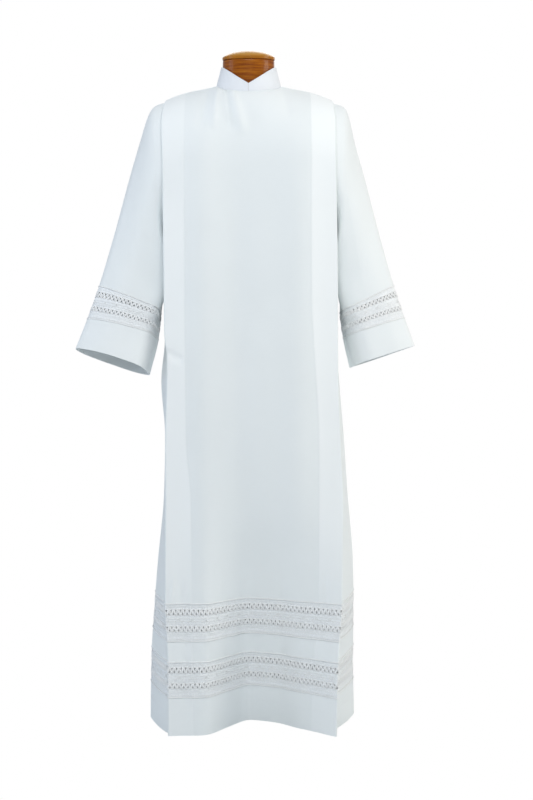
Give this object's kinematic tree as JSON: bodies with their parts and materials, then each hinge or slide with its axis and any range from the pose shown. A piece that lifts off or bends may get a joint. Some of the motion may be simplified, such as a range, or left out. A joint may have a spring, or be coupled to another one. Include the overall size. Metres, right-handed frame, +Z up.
{
  "type": "alb robe on limbless dress form",
  "caption": "Long white pleated alb with standing collar and openwork bands at sleeves and skirt, on a limbless dress form with wooden neck cap and low flat stand.",
  "frame": {"origin": "middle of the underside of the stand, under the pole", "axes": "+Z up, the front of the robe faces -Y, +X is to the right as seen from the front"},
  "size_m": [0.7788, 0.3566, 1.5758],
  "materials": {
    "cloth": "smooth white polyester and cotton weave with a slight sheen",
    "lace": "white openwork lace",
    "form_cover": "plain natural jersey drawn smooth over the form",
    "wood": "red brown stained and varnished, glossy",
    "steel": "satin"
  },
  "bodies": {
    "root": {"front_body": "cloth", "back_body": "cloth", "plain_band_front": "cloth", "plain_band_back": "cloth", "hem_front": "cloth", "hem_back": "cloth", "sleeve_left": "cloth", "sleeve_right": "cloth", "cuff_left": "cloth", "cuff_right": "cloth", "collar": "cloth", "lace_hem_upper_front": "lace", "lace_hem_upper_back": "lace", "lace_hem_lower_front": "lace", "lace_hem_lower_back": "lace", "lace_sleeve_left": "lace", "lace_sleeve_right": "lace", "form_torso": "form_cover", "neck_block": "wood", "neck_cap": "wood", "pole": "steel", "base_crossbar": "steel", "base_runner_left": "steel", "base_runner_right": "steel"}
  },
  "joints": []
}
